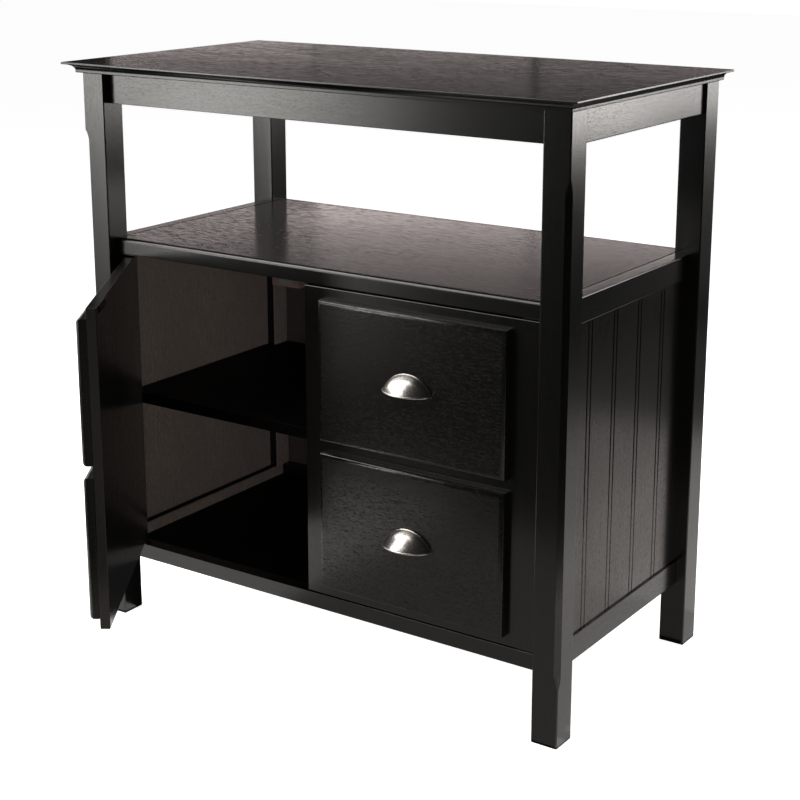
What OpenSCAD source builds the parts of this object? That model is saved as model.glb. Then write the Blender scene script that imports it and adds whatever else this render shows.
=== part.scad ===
// Buffet cabinet on four legs: moulded top, open shelf, and a low cupboard with two doors.
// Each door is one slab with two raised false fronts and two cup pulls, and turns on pivot pins.
// X runs along the front, +Y to the back, +Z up; the origin is on the floor, midway between the legs.

/* [Overall] */
// Width over the legs
body_w = 864; // [760:1:1100]
// Depth over the legs
body_d = 454; // [400:1:600]
// Height of the top surface
total_h = 914; // [880:1:1000]

/* [Top] */
// Overhang of the top past the legs at the front
top_over_front = 25; // [18:0.5:40]
// Overhang of the top past the legs at each side
top_over_side = 21; // [18:0.5:40]
// Overhang of the top past the legs at the back
top_over_back = 4; // [0:0.5:20]
// Height of the square lip around the top
top_lip_h = 3.5; // [2:0.5:8]
// Width of the flat quirk under the lip
top_quirk = 1; // [0.5:0.5:3]
// Height of the hollow moulding under the lip
top_cove_h = 9; // [5:0.5:16]
// Depth of the hollow moulding, measured inwards
top_cove_d = 14.5; // [8:0.5:16]
// Height of the square step under the moulding
top_step_h = 4; // [3:0.5:10]

/* [Legs] */
// Side of the square legs
leg_w = 42; // [38:0.5:60]
// Width of the chamfer face on each side of the front legs' outer corner
leg_chamfer = 7.5; // [4:0.5:12]
// Height at which the chamfer starts above the floor
chamfer_foot = 90; // [40:1:200]
// Distance from the leg's upper end to the end of the chamfer
chamfer_head = 88; // [60:1:200]
// Length of the curved stop at each end of the chamfer
chamfer_stop = 20; // [10:1:40]

/* [Aprons] */
// Height of the aprons under the top
apron_h = 47; // [40:1:90]
// Thickness of the aprons
apron_t = 20; // [16:0.5:24]
// How far the front apron stands back from the legs' front faces
apron_in_front = 13; // [2:0.5:16]
// How far the side aprons stand back from the legs' outer faces
apron_in_side = 5; // [2:0.5:16]
// How far the rear apron stands back from the legs' rear faces
apron_in_rear = 5; // [2:0.5:16]
// Side of the square cleats that carry the top
top_cleat = 18; // [14:1:24]

/* [Open shelf] */
// Height of the open shelf's surface
shelf_z = 637; // [560:1:700]
// Thickness of the open shelf's panel
shelf_t = 12; // [9:0.5:15]
// Height of the front shelf rail
shelf_rail_h = 24.5; // [22:0.5:40]
// Height of the side and rear shelf rails
shelf_side_h = 37.5; // [30:0.5:60]
// Width of the rail's top that shows in front of the shelf panel
shelf_lip = 6.5; // [6:0.5:10]
// Radius of the front shelf rail's upper front edge
shelf_round = 5.5; // [2:0.5:6]
// Depth of the tongues along the shelf panel's ends
tongue_d = 6; // [4:0.5:8]
// Thickness of the tongues along the shelf panel's ends
tongue_t = 5; // [4:0.5:6]

/* [Base] */
// Height of the base rails' lower edge above the floor
base_z = 101; // [60:1:140]
// Height of the front base rail
base_front_h = 24.5; // [22:0.5:40]
// Height of the side and rear base rails
base_side_h = 40.5; // [30:0.5:60]
// How far the front rails and the doors stand back from the legs' front faces
rail_in_front = 18; // [8:0.5:18]
// Thickness of the front rails
rail_front_t = 22; // [18:0.5:24]
// How far the side rails stand back from the legs' outer faces
rail_in_side = 18; // [8:0.5:18]
// How far the rear rails stand back from the legs' rear faces
rail_in_rear = 6; // [4:0.5:12]
// Thickness of the rear rails
rail_rear_t = 20; // [18:0.5:24]
// Thickness of the cupboard floor
floor_t = 12; // [9:0.5:16]
// How far the cupboard floor lies below the front base rail's top
floor_drop = 2.5; // [0:0.5:4]
// Width of the cleats under the cupboard floor
floor_cleat_w = 14; // [10:1:20]

/* [Side and back panels] */
// How far the beaded side panels stand back from the legs' outer faces
panel_in = 20.5; // [20:0.5:24]
// Thickness of the side panels
panel_t = 5.5; // [4:0.5:8]
// Depth of the grooves that hold the side panels
panel_groove = 6; // [4:0.5:8]
// Distance from the legs' front plane to the first pair of beads
bead_first = 101; // [60:0.5:140]
// Distance from one pair of beads to the next
bead_pitch = 75.5; // [50:0.5:110]
// Distance between the two V grooves of a pair
bead_gap = 10; // [6:0.5:16]
// Depth of each V groove
bead_depth = 1.5; // [0.5:0.1:2]
// Thickness of the back panel
back_t = 5; // [3:0.5:6]
// Width of the rear legs' rebate for the back panel
back_rebate = 8; // [6:0.5:12]
// How far the back panel's edges stay inside the rear rails' outer edges
back_margin = 9; // [2:0.5:12]

/* [Inner shelf] */
// Height of the inner shelf's surface
inner_z = 374; // [300:1:450]
// Thickness of the inner shelf
inner_t = 18; // [12:0.5:22]
// Distance from the front legs' rear faces to the inner shelf's front edge
inner_setback = 10; // [2:1:14]
// Radius of the shelf pins
shelf_pin_r = 2.5; // [2:0.5:3.5]
// Depth of the shelf pins in the legs
shelf_pin_in = 12; // [8:1:16]
// Length of the shelf pins outside the legs
shelf_pin_out = 20; // [18:1:30]

/* [Doors] */
// Thickness of the door slabs
door_t = 15; // [14:0.5:18]
// Gap between a door and the leg, and between the doors
door_gap = 2; // [1.5:0.5:4]
// Gap between the doors and the front shelf rail
door_gap_top = 3; // [2.5:0.5:5]
// Gap between the doors and the front base rail
door_gap_foot = 2; // [2:0.5:4]
// Width of the centre stile, which the right door carries
centre_stile = 34; // [28:1:60]
// Angle at which the left door stands open
left_open = 55.8; // [0:0.1:95]

/* [Raised fronts] */
// Width of the slab that shows between the left fronts and the hinge edge
hinge_stile = 49; // [40:1:90]
// Thickness of the raised fronts
front_t = 15; // [12:0.5:16]
// Margin above the upper fronts and below the lower ones
front_margin = 16; // [10:0.5:30]
// Gap between an upper and a lower front
front_gap = 18; // [10:0.5:40]
// Radius of the rounded edge around a front
front_round = 7; // [3:0.5:10]
// Radius of the dowels behind the fronts
dowel_r = 3; // [2:0.5:4]
// Depth of a dowel in each piece
dowel_in = 9; // [6:0.5:10]
// Distance from a front's edges to its dowels
dowel_edge = 45; // [30:1:70]

/* [Cup pulls] */
// Width of a cup pull, without its rim
pull_w = 81; // [70:1:110]
// Height of a cup pull, without its rim
pull_h = 27; // [24:1:40]
// How far a cup pull stands out
pull_out = 27.5; // [20:0.5:35]
// How far the cup's middle lies below its lower edge, which points its ends
pull_sink = 18; // [0:1:30]
// Wall of a cup pull
pull_wall = 2; // [1.5:0.1:3]
// Width of the rim that lies on the door
pull_rim = 1; // [1:0.5:4]
// Distance from a pull's end to its screw
pull_screw_in = 12; // [9:0.5:15]
// Height of the screws above the pull's lower edge
pull_screw_z = 9; // [7:0.5:12]
// Radius of the bosses that take a pull's screws
pull_boss_r = 3.6; // [2.8:0.1:4.5]
// Length of a pull's screws inside the pull
pull_thread = 8; // [6:0.5:10]
// Depth of the counterbores for the pull screws in the back of a front
pull_sunk = 5; // [3:0.5:7]
// How far a pull's lower edge lies below the middle of its front
pull_drop = 6; // [0:0.5:20]

/* [Hinges and catches] */
// Radius of the pivot pins
pin_r = 3; // [2:0.1:4]
// Running clearance around the pivot pins
pin_clear = 0.05; // [0.02:0.01:0.1]
// Length of the pivot pins inside the door
pin_in = 10; // [6:0.5:16]
// Distance from the door's edge to the pivot pin
pivot_inset = 18; // [15:0.5:24]
// Length of the pivot leaves and plates
leaf_l = 34; // [28:1:50]
// Width of the pivot leaves and plates
leaf_w = 12; // [9:0.5:13]
// Thickness of the pivot leaves and plates
leaf_t = 1.6; // [1:0.1:1.8]
// Distance from a fixed leaf's end to the leg
leaf_gap = 1; // [0.5:0.5:3]
// Distance from a door plate's end to the door's edge
plate_gap = 2; // [1:0.5:3]
// Distance from the pin to a leaf's screws
leaf_screw_x = 10; // [8:0.5:11]
// Clearance around the pins in the door's wood
pin_bore_clear = 0.5; // [0.2:0.1:1]
// Width of a magnetic catch
catch_w = 50; // [36:1:70]
// Depth of a magnetic catch
catch_d = 14; // [12:0.5:24]
// Height of a magnetic catch
catch_h = 16; // [12:0.5:24]
// Depth of the block that carries the catches
catch_block_d = 20; // [16:1:30]
// How far the catch block reaches past the catches
catch_block_over = 10; // [4:1:20]
// Distance from a catch's end to its screw
catch_screw_in = 7.5; // [6:0.5:12]
// Distance from a catch's rear face to its screws
catch_screw_back = 4.5; // [4:0.5:6]
// Width of a catch's magnet
magnet_w = 24; // [16:1:28]
// Depth of a catch's magnet
magnet_d = 6; // [4:0.5:8]
// Height of a catch's magnet
magnet_h = 7; // [5:0.5:8]
// Distance from the middle of the cabinet to a catch
catch_x = 40; // [30:1:120]
// Thickness of the strike plates
strike_t = 1.5; // [1:0.1:2.5]
// Height of the strike plates
strike_h = 11; // [8:0.5:16]
// Distance from a strike plate to the door's upper edge
strike_edge = 1; // [0.5:0.5:4]
// Gap between a strike plate and its catch
strike_gap = 0.3; // [0.3:0.1:1]

/* [Joints and fasteners] */
// Thickness of the tenons
tenon_t = 8; // [6:0.5:10]
// Length of the tenons
tenon_l = 6; // [4:0.5:8]
// Height of the shoulder above and below a tenon
shoulder = 4; // [2:0.5:6]
// Clearance around glued joints
joint_gap = 0.1; // [0.05:0.05:0.2]
// Clearance around panels and shelves
panel_gap = 0.25; // [0.2:0.05:0.5]
// Shank radius of the wood screws
screw_r = 1.6; // [1.2:0.1:2]
// Head radius of the wood screws
screw_head = 3.2; // [2.6:0.1:3.6]
// Height of the pull screws' heads
pull_head_h = 2.2; // [1.6:0.1:3]
// Clearance around the screws
screw_clear = 0.1; // [0.05:0.05:0.2]
// Wood left past the point of the top's and the catches' screws
screw_cover = 5; // [3:0.5:7]
// Length of the short wood screws
screw_short = 12; // [10:1:16]

/* [Hidden] */
$fn = 48;
over = 1;

left_x = -body_w / 2;
front_y = -body_d / 2;
back_y = body_d / 2;
span_x = body_w - 2 * leg_w;
span_y = body_d - 2 * leg_w;

rail_side_t = leg_w - rail_in_side;

top_t = top_lip_h + top_cove_h + top_step_h;
top_under = total_h - top_t;
apron_z = top_under - apron_h;
top_screw_l = top_cleat + top_t - screw_cover;

// Rails as [lower edge, height, distance in from the legs' faces, thickness]
apron_front = [apron_z, apron_h, apron_in_front, apron_t];
apron_rear = [apron_z, apron_h, apron_in_rear, apron_t];
apron_side = [apron_z, apron_h, apron_in_side, apron_t];
shelf_front = [shelf_z - shelf_rail_h, shelf_rail_h, rail_in_front, rail_front_t];
shelf_rear = [shelf_z - shelf_side_h, shelf_side_h, rail_in_rear, rail_rear_t];
shelf_side = [shelf_z - shelf_side_h, shelf_side_h, rail_in_side, rail_side_t];
base_front = [base_z, base_front_h, rail_in_front, rail_front_t];
base_rear = [base_z, base_side_h, rail_in_rear, rail_rear_t];
base_side = [base_z, base_side_h, rail_in_side, rail_side_t];
FRONT_RAILS = [apron_front, shelf_front, base_front];
REAR_RAILS = [apron_rear, shelf_rear, base_rear];
SIDE_RAILS = [apron_side, shelf_side, base_side];

panel_inner = panel_in + panel_t;
panel_low = base_z + base_side_h;
panel_high = shelf_z - shelf_side_h;
bead_room = body_d - leg_w - bead_first - bead_gap;
bead_pairs = floor(bead_room / bead_pitch) + 1;

floor_top = base_z + base_front_h - floor_drop;
back_low = base_z + back_margin;
back_high = shelf_z - back_margin;
rear_inner_y = back_y - rail_in_rear - rail_rear_t;
shelf_pin_x = (panel_inner + leg_w) / 2;
shelf_pin_z = inner_z - inner_t - shelf_pin_r;

door_low = base_z + base_front_h + door_gap_foot;
door_high = shelf_z - shelf_rail_h - door_gap_top;
door_h = door_high - door_low;
door_y = front_y + rail_in_front;
door_inner_y = door_y + door_t;
door_edge = span_x / 2 - door_gap;
right_free = -centre_stile / 2;
left_free = right_free - door_gap;
pivot_x = door_edge - pivot_inset;
pivot_y = door_y + door_t / 2;
leaf_mid = span_x / 2 - leaf_gap - leaf_l / 2;
plate_mid = door_edge - plate_gap - leaf_l / 2;

front_h = (door_h - 2 * front_margin - front_gap) / 2;
front_w = door_edge + left_free - hinge_stile;
front_face_y = door_y - front_t;
pull_screw_x = pull_w / 2 - pull_screw_in;
left_front_x = left_free - front_w;
right_front_x = right_free + centre_stile;
front_lows = [door_low + front_margin + front_h + front_gap, door_low + front_margin];

catch_y = door_inner_y + strike_t + strike_gap;
catch_top = shelf_z - shelf_rail_h;
catch_block_y = door_y + rail_front_t;
catch_block_high = shelf_z - shelf_t;
catch_screw_l = catch_h + catch_block_high - catch_top - screw_cover;
strike_low = door_high - strike_h - strike_edge;

lacquer = [0.09, 0.08, 0.08];
lacquer_inside = [0.12, 0.1, 0.09];
nickel = [0.72, 0.69, 0.65];
steel = [0.55, 0.55, 0.56];
beech = [0.72, 0.58, 0.4];
catch_brown = [0.35, 0.17, 0.1];

// General shapes

// Box between two opposite corners
module block(low, high) {
    translate(low) cube(high - low);
}

// Turns what is drawn for the left side into the right side
module for_side(side) {
    mirror([side > 0 ? 1 : 0, 0, 0]) children();
}

// Turns what is drawn for the front into the rear
module for_end(end) {
    mirror([0, end > 0 ? 1 : 0, 0]) children();
}

// Countersunk screw with its head's face at the origin, pointing down
module wood_screw(length, grow = 0) {
    cone = screw_head - screw_r;
    translate([0, 0, -length - grow]) cylinder(h = length + grow, r = screw_r + grow);
    translate([0, 0, -cone]) cylinder(h = cone, r1 = screw_r + grow, r2 = screw_head + grow);
    if (grow > 0) translate([0, 0, -grow / 2]) cylinder(h = over, r = screw_head + grow);
}

// Top

// Section across the moulded edge: outer edge at 0, running inwards, underside at height 0
module top_edge_section(width, both) {
    difference() {
        square([width, top_t]);
        top_edge_cut();
        if (both) translate([width, 0]) mirror([1, 0]) top_edge_cut();
    }
}

// What the moulding takes away along one edge
module top_edge_cut() {
    inner = top_quirk + top_cove_d;
    cove_z = top_step_h;
    arc = [for (i = [0:12]) let (a = i * 90 / 12)
        [top_quirk + top_cove_d * sin(a), cove_z + top_cove_h * cos(a)]];
    polygon(concat([[-over, -over], [-over, cove_z + top_cove_h]], arc, [[inner, -over]]));
}

// Top panel, moulded at the front and sides and square at the back
module top_panel() {
    width = body_w + 2 * top_over_side;
    depth = body_d + top_over_front + top_over_back;
    color(lacquer) difference() {
        intersection() {
            translate([-width / 2, front_y - top_over_front, top_under])
                rotate([90, 0, 90]) linear_extrude(width) top_edge_section(depth, false);
            translate([-width / 2, back_y + top_over_back, top_under])
                rotate([90, 0, 0]) linear_extrude(depth) top_edge_section(width, true);
        }
        top_screw_places() wood_screw(top_screw_l, screw_clear);
    }
}

// Places of the screws that hold the top, two in each cleat, pointing up
module top_screw_places() {
    for (end = [-1, 1]) for_end(end) for (x = [-1, 1])
        translate([x * span_x / 3, front_y + cleat_in(end) + top_cleat / 2, top_under - top_cleat])
            mirror([0, 0, 1]) children();
    for (side = [-1, 1]) for_side(side) for (y = [-1, 1])
        translate([left_x + apron_in_side + apron_t + top_cleat / 2, y * span_y / 3,
            top_under - top_cleat]) mirror([0, 0, 1]) children();
}

// Distance from the legs' faces to the cleat behind the front or rear apron
function cleat_in(end) = (end < 0 ? apron_in_front : apron_in_rear) + apron_t;

// Four cleats behind the aprons, under the top
module top_cleats() {
    side_in = apron_in_side + apron_t;
    cross_half = min(span_x / 2, body_w / 2 - side_in - top_cleat) - over;
    color(lacquer_inside) difference() {
        union() {
            for (end = [-1, 1]) for_end(end)
                block([-cross_half, front_y + cleat_in(end), top_under - top_cleat],
                    [cross_half, front_y + cleat_in(end) + top_cleat, top_under]);
            for (side = [-1, 1]) for_side(side)
                block([left_x + side_in, -span_y / 2 + over, top_under - top_cleat],
                    [left_x + side_in + top_cleat, span_y / 2 - over, top_under]);
        }
        top_screw_places() wood_screw(top_screw_l, screw_clear);
    }
}

// Screws from the cleats into the top
module top_screws() {
    color(steel) top_screw_places() wood_screw(top_screw_l);
}

// Legs

// Cut that takes the outer corner off a leg, with a curved stop at each end
module chamfer_cut() {
    depth = leg_chamfer / sqrt(2);
    foot = chamfer_foot;
    head = top_under - chamfer_head;
    radius = (chamfer_stop * chamfer_stop + depth * depth) / (2 * depth);
    sweep = asin(chamfer_stop / radius);
    low = [for (i = [0:8]) let (a = sweep * (1 - i / 8))
        [depth - radius * (1 - cos(a)), foot + chamfer_stop - radius * sin(a)]];
    high = [for (i = [0:8]) let (a = sweep * i / 8)
        [depth - radius * (1 - cos(a)), head - chamfer_stop + radius * sin(a)]];
    rotate([0, 0, 45]) rotate([90, 0, 0])
        translate([0, 0, -leg_w / 2]) linear_extrude(leg_w)
            polygon(concat([[-over, foot]], low, high, [[-over, head]]));
}

// Leg with its outer corner at the origin and its body towards +X and +Y
module leg_blank(cross_rails, front) {
    difference() {
        cube([leg_w, leg_w, top_under]);
        for (r = cross_rails)
            block([leg_w - tenon_l - joint_gap, r[2] + r[3] / 2 - tenon_t / 2 - joint_gap,
                r[0] + shoulder - joint_gap],
                [leg_w + over, r[2] + r[3] / 2 + tenon_t / 2 + joint_gap,
                r[0] + r[1] - shoulder + joint_gap]);
        for (r = SIDE_RAILS)
            block([r[2] + r[3] / 2 - tenon_t / 2 - joint_gap, leg_w - tenon_l - joint_gap,
                r[0] + shoulder - joint_gap],
                [r[2] + r[3] / 2 + tenon_t / 2 + joint_gap, leg_w + over,
                r[0] + r[1] - shoulder + joint_gap]);
        block([panel_in - joint_gap, leg_w - panel_groove - panel_gap, panel_low - panel_groove],
            [panel_inner + joint_gap, leg_w + over, panel_high + panel_groove]);
        translate([shelf_pin_x, leg_w - shelf_pin_in, shelf_pin_z]) rotate([-90, 0, 0])
            cylinder(h = shelf_pin_in + over, r = shelf_pin_r + joint_gap / 2);
        if (front) chamfer_cut();
        else block([leg_w - back_rebate, -over, back_low - panel_gap],
            [leg_w + over, rail_in_rear, back_high + panel_gap]);
    }
}

// Leg at a corner: side -1 is left, end -1 is the front
module leg(side, end) {
    color(lacquer) for_side(side) for_end(end) translate([left_x, front_y, 0])
        leg_blank(end < 0 ? FRONT_RAILS : REAR_RAILS, end < 0);
}

// Rails and aprons

// Section of a cross rail: outer face at 0, with an optional shelf rebate and rounded top edge
module rail_section(rail, rebate, round_r) {
    difference() {
        square([rail[3], rail[1]]);
        if (rebate > 0) translate([shelf_lip, rail[1] - rebate]) square([rail[3], rebate + over]);
        if (round_r > 0) translate([0, rail[1] - round_r]) difference() {
            translate([-over, 0]) square([round_r + over, round_r + over]);
            translate([round_r, 0]) circle(round_r);
        }
    }
}

// Rail between two legs along X, with a stub tenon at each end
module cross_rail(rail, end, rebate = 0, round_r = 0) {
    for_end(end) translate([-span_x / 2, front_y + rail[2], rail[0]]) {
        rotate([90, 0, 90]) linear_extrude(span_x) rail_section(rail, rebate, round_r);
        for (x = [-tenon_l, span_x])
            translate([x, (rail[3] - tenon_t) / 2, shoulder])
                cube([tenon_l, tenon_t, rail[1] - 2 * shoulder]);
    }
}

// Rail between two legs along Y, on the left, with a stub tenon at each end
module side_rail_blank(rail) {
    translate([left_x + rail[2], -span_y / 2, rail[0]]) {
        cube([rail[3], span_y, rail[1]]);
        translate([(rail[3] - tenon_t) / 2, -tenon_l, shoulder])
            cube([tenon_t, span_y + 2 * tenon_l, rail[1] - 2 * shoulder]);
    }
}

// Groove that holds the side panel's upper or lower edge
module panel_groove_cut(z) {
    block([left_x + panel_in - joint_gap, -span_y / 2 - tenon_l - over, z],
        [left_x + panel_inner + joint_gap, span_y / 2 + tenon_l + over, z + panel_groove + over]);
}

// Apron at a side
module apron_side_piece(side) {
    color(lacquer) for_side(side) side_rail_blank(apron_side);
}

// Shelf rail at a side, grooved for the side panel and the shelf's tongue
module shelf_side_piece(side) {
    mid = shelf_z - shelf_t / 2;
    color(lacquer) for_side(side) difference() {
        side_rail_blank(shelf_side);
        panel_groove_cut(panel_high - over);
        block([-span_x / 2 - tongue_d - panel_gap, -span_y / 2 - tenon_l - over,
            mid - tongue_t / 2 - joint_gap],
            [-span_x / 2 + over, span_y / 2 + tenon_l + over, mid + tongue_t / 2 + joint_gap]);
    }
}

// Base rail at a side, grooved for the side panel
module base_side_piece(side) {
    color(lacquer) for_side(side) difference() {
        side_rail_blank(base_side);
        panel_groove_cut(panel_low - panel_groove);
    }
}

// Holes for the pivot leaves' screws in the front rails
module leaf_screw_holes() {
    leaf_screw_places() wood_screw(screw_short, screw_clear);
}

// Front shelf rail with its rounded edge
module shelf_rail_front() {
    color(lacquer) difference() {
        cross_rail(shelf_front, -1, shelf_t, shelf_round);
        leaf_screw_holes();
    }
}

// Front base rail
module base_rail_front() {
    color(lacquer) difference() {
        cross_rail(base_front, -1);
        leaf_screw_holes();
    }
}

// Rear rail or apron, drilled for the back panel's screws
module rear_rail(rail, rebate = 0) {
    color(lacquer) difference() {
        cross_rail(rail, 1, rebate);
        back_screw_places() wood_screw(screw_short, screw_clear);
    }
}

// Panels and shelves

// Panel of the open shelf, with a tongue along each end
module open_shelf() {
    low_y = front_y + rail_in_front + shelf_lip + panel_gap;
    high_y = back_y - rail_in_rear - shelf_lip - panel_gap;
    mid = shelf_z - shelf_t / 2;
    tongue_x = span_x / 2 + tongue_d;
    color(lacquer) union() {
        block([-span_x / 2 + panel_gap, low_y, shelf_z - shelf_t],
            [span_x / 2 - panel_gap, high_y, shelf_z]);
        block([-tongue_x, -span_y / 2 + panel_gap, mid - tongue_t / 2],
            [tongue_x, span_y / 2 - panel_gap, mid + tongue_t / 2]);
    }
}

// Floor of the cupboard
module cupboard_floor() {
    color(lacquer_inside)
        block([-span_x / 2 + panel_gap, door_y + rail_front_t + panel_gap, floor_top - floor_t],
            [span_x / 2 - panel_gap, rear_inner_y - panel_gap, floor_top]);
}

// Four cleats under the cupboard floor
module floor_cleats() {
    low = base_z;
    high = floor_top - floor_t;
    front_in = door_y + rail_front_t;
    side_x = left_x + rail_in_side + rail_side_t;
    color(lacquer_inside) {
        block([-span_x / 2 + floor_cleat_w, front_in, low],
            [span_x / 2 - floor_cleat_w, front_in + floor_cleat_w, high]);
        block([-span_x / 2 + floor_cleat_w, rear_inner_y - floor_cleat_w, low],
            [span_x / 2 - floor_cleat_w, rear_inner_y, high]);
        for (side = [-1, 1]) for_side(side)
            block([side_x, -span_y / 2 + floor_cleat_w, low],
                [side_x + floor_cleat_w, span_y / 2 - floor_cleat_w - rail_rear_t, high]);
    }
}

// Side panel with pairs of V grooves on its outer face
module side_panel(side) {
    reach = panel_groove - panel_gap;
    vee = bead_depth * sqrt(2);
    color(lacquer) for_side(side) difference() {
        block([left_x + panel_in, -span_y / 2 - reach, panel_low - reach],
            [left_x + panel_inner, span_y / 2 + reach, panel_high + reach]);
        for (i = [0:bead_pairs - 1], k = [0, 1])
            translate([left_x + panel_in, front_y + bead_first + i * bead_pitch + k * bead_gap,
                panel_low - panel_groove - over]) rotate([0, 0, 45])
                translate([-vee / 2, -vee / 2, 0])
                    cube([vee, vee, panel_high - panel_low + 2 * panel_groove + 2 * over]);
    }
}

// Places of the back panel's screws, pointing towards the front
module back_screw_places() {
    face = back_y - rail_in_rear + back_t;
    upper = (back_high + shelf_z - shelf_side_h) / 2;
    lower = (back_low + base_z + base_side_h) / 2;
    for (i = [-2:2], z = [lower, upper])
        translate([i * span_x / 5, face, z]) rotate([-90, 0, 0]) children();
}

// Back panel in the rear legs' rebates, over the rear rails
module back_panel() {
    half = span_x / 2 + back_rebate - panel_gap;
    color(lacquer_inside) difference() {
        block([-half, back_y - rail_in_rear, back_low], [half, back_y - rail_in_rear + back_t, back_high]);
        back_screw_places() wood_screw(screw_short, screw_clear);
    }
}

// Screws of the back panel
module back_screws() {
    color(steel) back_screw_places() wood_screw(screw_short);
}

// Inner shelf, notched around the rear legs
module inner_shelf() {
    wide = body_w / 2 - panel_inner - 2 * panel_gap;
    narrow = span_x / 2 - 2 * panel_gap;
    notch_y = span_y / 2 - 2 * panel_gap;
    color(lacquer_inside) union() {
        block([-wide, -span_y / 2 + inner_setback, inner_z - inner_t], [wide, notch_y, inner_z]);
        block([-narrow, notch_y - over, inner_z - inner_t],
            [narrow, back_y - rail_in_rear - panel_gap, inner_z]);
    }
}

// Four pins in the legs, under the corners of the inner shelf
module shelf_pins() {
    color(steel) for (side = [-1, 1], end = [-1, 1]) for_side(side) for_end(end)
        translate([left_x + shelf_pin_x, -span_y / 2 - shelf_pin_in, shelf_pin_z])
            rotate([-90, 0, 0]) cylinder(h = shelf_pin_in + shelf_pin_out, r = shelf_pin_r);
}

// Hinges

// Places of the screws in the fixed leaves, heads towards the door
module leaf_screw_places() {
    for (side = [-1, 1]) for_side(side) for (x = [pivot_x - leaf_screw_x, pivot_x + leaf_screw_x]) {
        translate([-x, pivot_y, base_z + base_front_h + leaf_t]) children();
        translate([-x, pivot_y, catch_top - leaf_t]) mirror([0, 0, 1]) children();
    }
}

// Fixed pivot leaves above and below a door, each with its pin
module pivot_pins(side) {
    color(steel) for_side(side) difference() {
        union() {
            block([-leaf_mid - leaf_l / 2, pivot_y - leaf_w / 2, base_z + base_front_h],
                [-leaf_mid + leaf_l / 2, pivot_y + leaf_w / 2, base_z + base_front_h + leaf_t]);
            block([-leaf_mid - leaf_l / 2, pivot_y - leaf_w / 2, catch_top - leaf_t],
                [-leaf_mid + leaf_l / 2, pivot_y + leaf_w / 2, catch_top]);
            translate([-pivot_x, pivot_y, base_z + base_front_h + leaf_t / 2])
                cylinder(h = door_gap_foot - leaf_t / 2 + pin_in, r = pin_r);
            translate([-pivot_x, pivot_y, door_high - pin_in])
                cylinder(h = door_gap_top - leaf_t / 2 + pin_in, r = pin_r);
        }
        leaf_screw_places() wood_screw(screw_short, screw_clear);
    }
}

// Screws of the fixed leaves
module leaf_screws() {
    color(steel) leaf_screw_places() wood_screw(screw_short);
}

// Doors

// Turns a closed left door to where it stands at rest
module left_door_pose() {
    translate([-pivot_x, pivot_y, 0]) rotate([0, 0, -left_open])
        translate([pivot_x, -pivot_y, 0]) children();
}

// Puts a piece of a door in its place: side -1 is the left door, which stands open
module on_door(side) {
    if (side < 0) left_door_pose() children();
    else children();
}

// Left end of the raised fronts on a door
function front_x(side) = side < 0 ? left_front_x : right_front_x;

// Places of the dowels behind a front, on the joint between slab and front
module dowel_places(side, low) {
    for (x = [dowel_edge, front_w - dowel_edge], z = [dowel_edge, front_h - dowel_edge])
        translate([front_x(side) + x, door_y, low + z]) rotate([-90, 0, 0]) children();
}

// Slab of a door, closed
module door_slab_closed(side) {
    low_x = side < 0 ? -door_edge : right_free;
    high_x = side < 0 ? left_free : door_edge;
    difference() {
        block([low_x, door_y, door_low], [high_x, door_inner_y, door_high]);
        for (z = [door_low - over, door_high - leaf_t])
            translate([side * plate_mid - leaf_l / 2 - joint_gap, pivot_y - leaf_w / 2 - joint_gap, z])
                cube([leaf_l + 2 * joint_gap, leaf_w + 2 * joint_gap, leaf_t + over]);
        for (z = [door_low - over, door_high - pin_in - over])
            translate([side * pivot_x, pivot_y, z])
                cylinder(h = pin_in + 2 * over, r = pin_r + pin_bore_clear);
        for (low = front_lows) dowel_places(side, low)
            cylinder(h = dowel_in + joint_gap, r = dowel_r + joint_gap / 2);
    }
}

// Section of a raised front through its thickness, back at 0, with two rounded front edges
module front_section(width) {
    difference() {
        square([width, front_t]);
        for (flip = [0, 1]) translate([flip * width, front_t - front_round]) mirror([flip, 0])
            difference() {
                translate([-over, 0]) square(front_round + over);
                translate([front_round, 0]) circle(front_round);
            }
    }
}

// Raised front with rounded edges, drilled for its dowels and its pull's screws
module raised_front_closed(side, low) {
    x = front_x(side);
    difference() {
        intersection() {
            translate([x, door_y, low]) mirror([0, 1, 0]) linear_extrude(front_h)
                front_section(front_w);
            translate([x, door_y, low + front_h]) rotate([0, 90, 0]) mirror([0, 1, 0])
                linear_extrude(front_w) front_section(front_h);
        }
        dowel_places(side, low) translate([0, 0, -dowel_in - joint_gap])
            cylinder(h = dowel_in + 2 * joint_gap, r = dowel_r + joint_gap / 2);
        pull_screw_places(side, low) pull_screw(screw_clear);
    }
}

// Dowels between a door's slab and its fronts
module dowels(side) {
    color(beech) on_door(side) for (low = front_lows) dowel_places(side, low)
        translate([0, 0, -dowel_in]) cylinder(h = 2 * dowel_in, r = dowel_r);
}

// Cup pulls

// Middle of a pull's lower edge, on the front's face
function pull_at(side, low) = [front_x(side) + front_w / 2, front_face_y, low + front_h / 2 - pull_drop];

// Half axes of the ellipsoid whose part above a pull's lower edge has the given sizes
function cup_axes(half_w, out, high) =
    let (share = sqrt(1 - pow(pull_sink / (high + pull_sink), 2)))
    [half_w / share, out / share, high + pull_sink];

// Ellipsoid of a cup, sunk below the pull's lower edge
module cup_ball(half_w, out, high) {
    translate([0, 0, -pull_sink]) scale(cup_axes(half_w, out, high)) sphere(r = 1, $fn = 40);
}

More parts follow.
